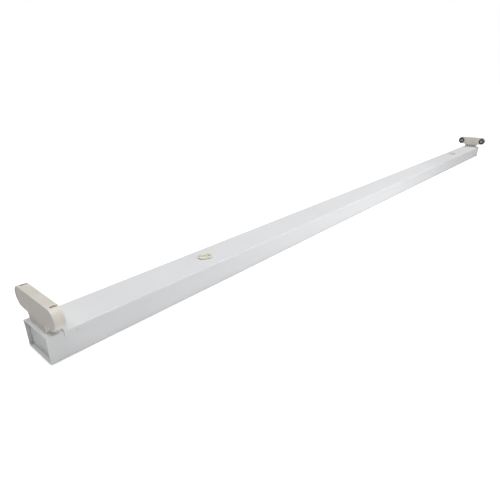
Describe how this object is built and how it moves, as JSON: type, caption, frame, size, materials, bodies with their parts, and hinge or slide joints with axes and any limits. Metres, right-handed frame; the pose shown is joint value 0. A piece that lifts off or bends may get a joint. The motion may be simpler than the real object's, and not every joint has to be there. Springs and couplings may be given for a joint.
{
  "type": "led tube light fixture",
  "caption": "Open ceiling batten for straight tubes: white folded steel channel with a lift-off lid between beige lampholders with black turning sockets.",
  "frame": {"origin": "middle of the channel's length and width, on the face that goes against the ceiling", "axes": "+X along the tubes from the near end to the far end, +Y across, +Z from the ceiling face towards the tubes"},
  "size_m": [1.53, 0.0862, 0.0625],
  "materials": {
    "white_steel": "white powder coat, satin",
    "zinc_steel": "zinc plated",
    "beige_plastic": "moulded, satin",
    "black_plastic": "moulded, satin",
    "core_plastic": "moulded, smooth",
    "cream_nylon": "natural nylon",
    "terminal_plastic": "moulded",
    "contact_brass": "stamped",
    "bush_rubber": "soft",
    "lead_brown": "soft insulation",
    "lead_blue": "soft insulation",
    "lead_green": "soft insulation"
  },
  "bodies": {
    "base": {"base_channel": "white_steel", "end_plate_near": "white_steel", "end_plate_far": "white_steel", "end_bridge_near": "white_steel", "end_bridge_far": "white_steel", "end_plate_rivets": "zinc_steel", "holder_body_near": "beige_plastic", "holder_body_far": "beige_plastic", "holder_face_near": "beige_plastic", "holder_face_far": "beige_plastic", "contacts_near": "contact_brass", "contacts_far": "contact_brass", "latch_bracket_near": "zinc_steel", "latch_bracket_far": "zinc_steel", "bracket_rivets": "zinc_steel", "cable_bush": "bush_rubber", "terminal_block": "terminal_plastic", "terminal_clamps": "contact_brass", "terminal_screws": "zinc_steel", "block_fixing_screws": "zinc_steel", "live_leads": "lead_brown", "neutral_leads": "lead_blue", "earth_lead": "lead_green", "lead_clips": "beige_plastic", "earth_stud": "zinc_steel", "earth_tag": "contact_brass", "earth_nut": "zinc_steel"},
    "lid": {"cover_lid": "white_steel"},
    "fastener_near": {"turn_knob_near": "cream_nylon", "latch_bar_near": "cream_nylon"},
    "fastener_far": {"turn_knob_far": "cream_nylon", "latch_bar_far": "cream_nylon"},
    "socket_near_left": {"rotor_near_left": "black_plastic", "core_near_left": "core_plastic"},
    "socket_near_right": {"rotor_near_right": "black_plastic", "core_near_right": "core_plastic"},
    "socket_far_left": {"rotor_far_left": "black_plastic", "core_far_left": "core_plastic"},
    "socket_far_right": {"rotor_far_right": "black_plastic", "core_far_right": "core_plastic"}
  },
  "joints": [
    {"name": "lid_lift", "type": "slide", "parent": "base", "child": "lid", "axis": [0, 0, 1], "range_m": [0, 0.06]},
    {"name": "fastener_near_turn", "type": "hinge", "parent": "lid", "child": "fastener_near", "pos_m": [-0.544, 0, 0.03], "axis": [0, 0, 1], "range_deg": [0, 90]},
    {"name": "fastener_far_turn", "type": "hinge", "parent": "lid", "child": "fastener_far", "pos_m": [0.544, 0, 0.03], "axis": [0, 0, 1], "range_deg": [0, 90]},
    {"name": "socket_near_left_turn", "type": "hinge", "parent": "base", "child": "socket_near_left", "pos_m": [-0.7505, 0.032, 0.0503], "axis": [1, 0, 0], "range_deg": [0, 90]},
    {"name": "socket_near_right_turn", "type": "hinge", "parent": "base", "child": "socket_near_right", "pos_m": [-0.7505, -0.032, 0.0503], "axis": [1, 0, 0], "range_deg": [0, 90]},
    {"name": "socket_far_left_turn", "type": "hinge", "parent": "base", "child": "socket_far_left", "pos_m": [0.7505, 0.032, 0.0503], "axis": [1, 0, 0], "range_deg": [0, 90]},
    {"name": "socket_far_right_turn", "type": "hinge", "parent": "base", "child": "socket_far_right", "pos_m": [0.7505, -0.032, 0.0503], "axis": [1, 0, 0], "range_deg": [0, 90]}
  ]
}
